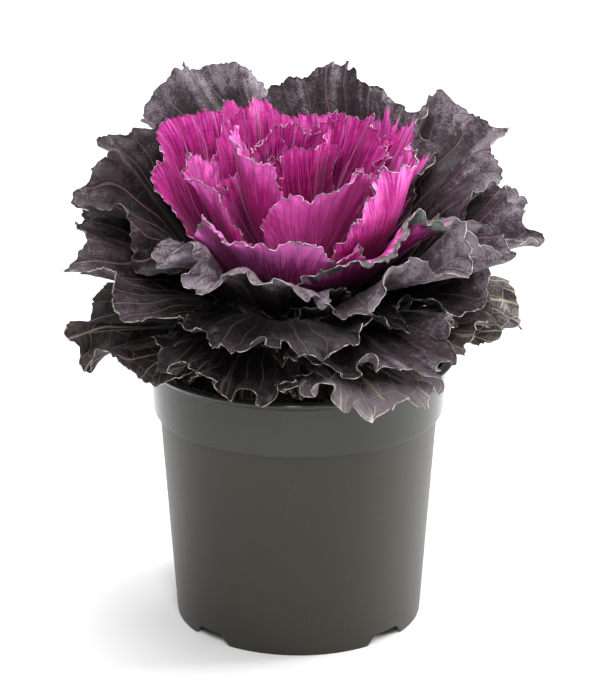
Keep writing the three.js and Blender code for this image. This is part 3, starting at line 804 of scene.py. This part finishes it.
pot = add_mesh("fine_pot", points, faces, [plastic])
close_up(pot)


def cutter(name, points, faces):
    """A solid that is cut from the pot."""
    made = add_mesh(name, points, faces, [plastic], smooth=False)
    close_up(made)
    cut = pot.modifiers.new(name, "BOOLEAN")
    cut.operation = "DIFFERENCE"
    cut.solver = "EXACT"
    cut.object = made
    return made


def apply_modifiers(piece):
    """Bakes the piece's modifiers into its mesh."""
    evaluated = piece.evaluated_get(bpy.context.evaluated_depsgraph_get())
    mesh = bpy.data.meshes.new_from_object(evaluated)
    piece.modifiers.clear()
    piece.data = mesh


def notch(name, out, side):
    """Cutter for a notch in the foot ring: a trapezium with small shoulders, run through the ring."""
    foot = NOTCH_FOOT_HALF_WIDTH
    top = NOTCH_TOP_HALF_WIDTH
    outline = [(-foot, -1), (foot, -1), (top + 0.5, NOTCH_HEIGHT - 0.8), (top - 0.6, NOTCH_HEIGHT),
               (-top + 0.6, NOTCH_HEIGHT), (-top - 0.5, NOTCH_HEIGHT - 0.8)]
    ring = len(outline)
    points = [out * reach + side * a + np.array([0, 0, z])
              for reach in (FOOT_RADIUS - 11, FOOT_RADIUS + 3) for a, z in outline]
    faces = [tuple(range(ring)), tuple(range(2 * ring - 1, ring - 1, -1))]
    faces += [(j, j + ring, (j + 1) % ring + ring, (j + 1) % ring) for j in range(ring)]
    return cutter(name, points, faces)


def drain_hole(name, out):
    """Cutter for a round hole in the pot's floor."""
    sides = 24
    turn = np.arange(sides) * math.pi / (sides / 2)
    centre = out * DRAIN_CIRCLE_RADIUS
    points = [centre + (DRAIN_RADIUS * math.cos(a), DRAIN_RADIUS * math.sin(a), z)
              for z in (-3, 12) for a in turn]
    faces = [tuple(range(sides - 1, -1, -1)), tuple(range(sides, 2 * sides))]
    faces += [(j, (j + 1) % sides, (j + 1) % sides + sides, j + sides) for j in range(sides)]
    return cutter(name, points, faces)


cutters = []
for k in range(NOTCHES):
    azimuth = math.radians(360 / NOTCHES * (k + 0.5))
    out = np.array([math.sin(azimuth), -math.cos(azimuth), 0])
    side = np.array([math.cos(azimuth), math.sin(azimuth), 0])
    cutters.append(notch(f"notch_{k}", out, side))
    cutters.append(drain_hole(f"drain_{k}", out))
apply_modifiers(pot)
for made in cutters:
    bpy.data.objects.remove(made)
pot.data.set_sharp_from_angle(angle=math.radians(38))
stands_for(pot, "pot_plastic", "pot")

# Soil: an uneven top inside the pot, with crumbs and a few pale grains.
compost = soil_material("compost", (0.006, 0.0045, 0.0035), (0.030, 0.023, 0.017))
grain_skin = soil_material("pale_grain", (0.35, 0.32, 0.27), (0.75, 0.72, 0.66))


def soil_level(r):
    """Height of the CAD soil's mound at radius r."""
    share = np.interp(r / BAND_TOP_RADIUS, [0, 0.35, 0.75, 1], [1, 0.85, 0.25, 0])
    return SOIL_HEIGHT + SOIL_MOUND * share


# Wavelength and depth of the waves that make the soil uneven.
SOIL_WAVES = ((16, 0.5), (7, 0.5), (3, 0.45), (1.8, 0.3))


def soil_bumps(x, y):
    """Height above the mound at a place on the soil: waves that cross at random."""
    total = 0
    bumps = np.random.default_rng(11)
    for wavelength, depth in SOIL_WAVES:
        for _ in range(3):
            angle = bumps.uniform(0, math.pi)
            shift = bumps.uniform(0, 6.28)
            across = x * math.cos(angle) + y * math.sin(angle)
            total = total + depth / 2 * np.sin(2 * math.pi * across / wavelength + shift)
    return total


SOIL_SIDES = 200
SOIL_RINGS = 60
SOIL_GAP = 0.35
SOIL_TOP_GAP = 0.75
SOIL_HOLE_RADIUS = 6.5
HIGHEST_BUMP = 1.2
soil_radius = BAND_TOP_RADIUS - POT_WALL - SOIL_TOP_GAP
soil_rings = np.linspace(SOIL_HOLE_RADIUS, soil_radius, SOIL_RINGS)
points, faces = turned([(r, 0) for r in soil_rings], SOIL_SIDES)
radius = np.hypot(points[:, 0], points[:, 1])
points[:, 2] = soil_level(radius) + soil_bumps(points[:, 0], points[:, 1]) * ease(soil_radius - radius, 0, 2)
points[:, 2] = np.minimum(points[:, 2], soil_level(radius) + HIGHEST_BUMP)
side_profile = [
    (soil_radius, SOIL_HEIGHT), (BAND_FOOT_RADIUS - POT_WALL - SOIL_GAP, band_foot + 1),
    (BODY_TOP_RADIUS - POT_WALL - SOIL_GAP, band_foot - 1.2),
    (FOOT_RADIUS - POT_WALL - SOIL_GAP, floor_top + SOIL_GAP), (0.01, floor_top + SOIL_GAP),
]
side_points, side_faces = turned(side_profile, SOIL_SIDES)
side_faces = [tuple(index + len(points) for index in face) for face in side_faces]
soil = add_mesh("fine_soil", np.concatenate([points, side_points]), faces + side_faces, [compost])
stands_for(soil, "soil", "soil")


CRUMB_FREE_EDGE = 2.2
# A regular icosahedron: its corners and its faces.
GOLDEN_RATIO = (1 + 5 ** 0.5) / 2
ICOSAHEDRON = unit(np.array([
    (-1, GOLDEN_RATIO, 0), (1, GOLDEN_RATIO, 0), (-1, -GOLDEN_RATIO, 0), (1, -GOLDEN_RATIO, 0),
    (0, -1, GOLDEN_RATIO), (0, 1, GOLDEN_RATIO), (0, -1, -GOLDEN_RATIO), (0, 1, -GOLDEN_RATIO),
    (GOLDEN_RATIO, 0, -1), (GOLDEN_RATIO, 0, 1), (-GOLDEN_RATIO, 0, -1), (-GOLDEN_RATIO, 0, 1)]))
ICOSAHEDRON_FACES = np.array([
    (0, 11, 5), (0, 5, 1), (0, 1, 7), (0, 7, 10), (0, 10, 11), (1, 5, 9), (5, 11, 4), (11, 10, 2), (10, 7, 6),
    (7, 1, 8), (3, 9, 4), (3, 4, 2), (3, 2, 6), (3, 6, 8), (3, 8, 9), (4, 9, 5), (2, 4, 11), (6, 2, 10),
    (8, 6, 7), (9, 8, 1)])


def crumbs(name, count, low, high, material, seed):
    """Small angular lumps that lie on the soil, as one piece. Their radii lie between low and high."""
    random = np.random.default_rng(seed)
    points = []
    faces = []
    for k in range(count):
        r = (soil_radius - CRUMB_FREE_EDGE) * math.sqrt(random.uniform(0.04, 1))
        a = random.uniform(0, 2 * math.pi)
        size = low + (high - low) * random.uniform() ** 2.5
        corners = ICOSAHEDRON * random.uniform(0.6, 1.25, ICOSAHEDRON.shape)
        lump = corners * (size, size * random.uniform(0.6, 1), size * 0.6)
        turn = random.uniform(0, 2 * math.pi)
        c = math.cos(turn)
        s = math.sin(turn)
        spun = lump @ np.array([(c, -s, 0), (s, c, 0), (0, 0, 1)])
        x = r * math.cos(a)
        y = r * math.sin(a)
        level = soil_level(r) + min(soil_bumps(x, y), HIGHEST_BUMP)
        points.append(spun + (x, y, level + 0.2 * size))
        faces.append(ICOSAHEDRON_FACES + len(ICOSAHEDRON) * k)
    return add_mesh(name, np.concatenate(points), np.concatenate(faces), [material], smooth=False)


stands_for(crumbs("soil_crumbs", 1500, 0.5, 2.0, compost, 21), "soil")
stands_for(crumbs("soil_grains", 90, 0.25, 0.6, grain_skin, 22), "soil")


def stem_material():
    material, tree, shader = new_material("stem_skin")
    place = object_position(tree)
    cloudy = noise(tree, place, 120.0, 4.0, 0.6)
    fibres = noise(tree, place, 700.0, 2.0)
    finish_surface(tree, shader, blend(tree, cloudy.ramp(0.3, 0.7), (0.05, 0.055, 0.03), (0.15, 0.17, 0.09)),
                   fibres * 0.2 + 0.6, cloudy + fibres * 0.3, 0.0005)
    return material


stem_skin = stem_material()
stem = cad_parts["stem"]
stem.data.materials.clear()
stem.data.materials.append(stem_skin)

# ------------------------------------------------------------------ floor, light and camera


def stage_material():
    material, tree, shader = new_material("studio_floor")
    cloudy = noise(tree, object_position(tree), 3.0, 2.0)
    colour = blend(tree, cloudy, (0.95, 0.95, 0.95), (0.97, 0.97, 0.97))
    finish_surface(tree, shader, colour, 0.9, cloudy, 0.0001)
    return material


FLOOR_REACH = 3000
floor_corners = [(FLOOR_REACH * x, FLOOR_REACH * y, 0) for x, y in ((-1, -1), (1, -1), (1, 1), (-1, 1))]
studio_floor = add_mesh("studio_floor", floor_corners, [(0, 1, 2, 3)], [stage_material()], smooth=False)

world = bpy.data.worlds.new("studio")
world.use_nodes = True
world.node_tree.nodes["Background"].inputs["Color"].default_value = (1, 1, 1, 1)
world.node_tree.nodes["Background"].inputs["Strength"].default_value = 0.32
bpy.context.scene.world = world
bpy.context.scene.view_settings.view_transform = "Standard"

# The point that the camera and the lights look at, on the pot's axis.
AIM_HEIGHT = 118.64
AIM = Vector((*POT_AXIS, AIM_HEIGHT)) / 1000


def softbox(name, place, size, power):
    """A square light of size metres and power watts that faces the plant."""
    light = bpy.data.lights.new(name, "AREA")
    light.size = size
    light.energy = power
    box = bpy.data.objects.new(name, light)
    box.location = Vector(place)
    box.rotation_euler = (AIM - Vector(place)).to_track_quat("-Z", "Y").to_euler()
    bpy.context.scene.collection.objects.link(box)


softbox("softbox_top", (0.3, 0.2, 2.6), 2.2, 75)
softbox("softbox_front", (-0.05, -1.6, 1.6), 0.8, 31)
softbox("softbox_right", (1.4, 0.35, 0.27), 0.5, 33)

# Pixel values are those of the picture, whose height is its long side.
PICTURE_WIDTH = 600
PICTURE_HEIGHT = 683
FOCAL_LENGTH_PIXELS = 3110.84
POT_AXIS_PIXEL = 298.54
SENSOR_WIDTH = 36
CAMERA_DISTANCE = 1.284
CAMERA_ELEVATION = math.radians(19.73)
camera_data = bpy.data.cameras.new("camera")
camera_data.sensor_width = SENSOR_WIDTH
camera_data.lens = FOCAL_LENGTH_PIXELS / PICTURE_HEIGHT * SENSOR_WIDTH
camera_data.shift_x = (PICTURE_WIDTH / 2 - POT_AXIS_PIXEL) / PICTURE_HEIGHT
camera_data.clip_start = 0.01
camera = bpy.data.objects.new("camera", camera_data)
bpy.context.scene.collection.objects.link(camera)
away = Vector((0, -math.cos(CAMERA_ELEVATION), math.sin(CAMERA_ELEVATION)))
camera.location = AIM + away * CAMERA_DISTANCE
camera.rotation_euler = (-away).to_track_quat("-Z", "Y").to_euler()
bpy.context.scene.camera = camera
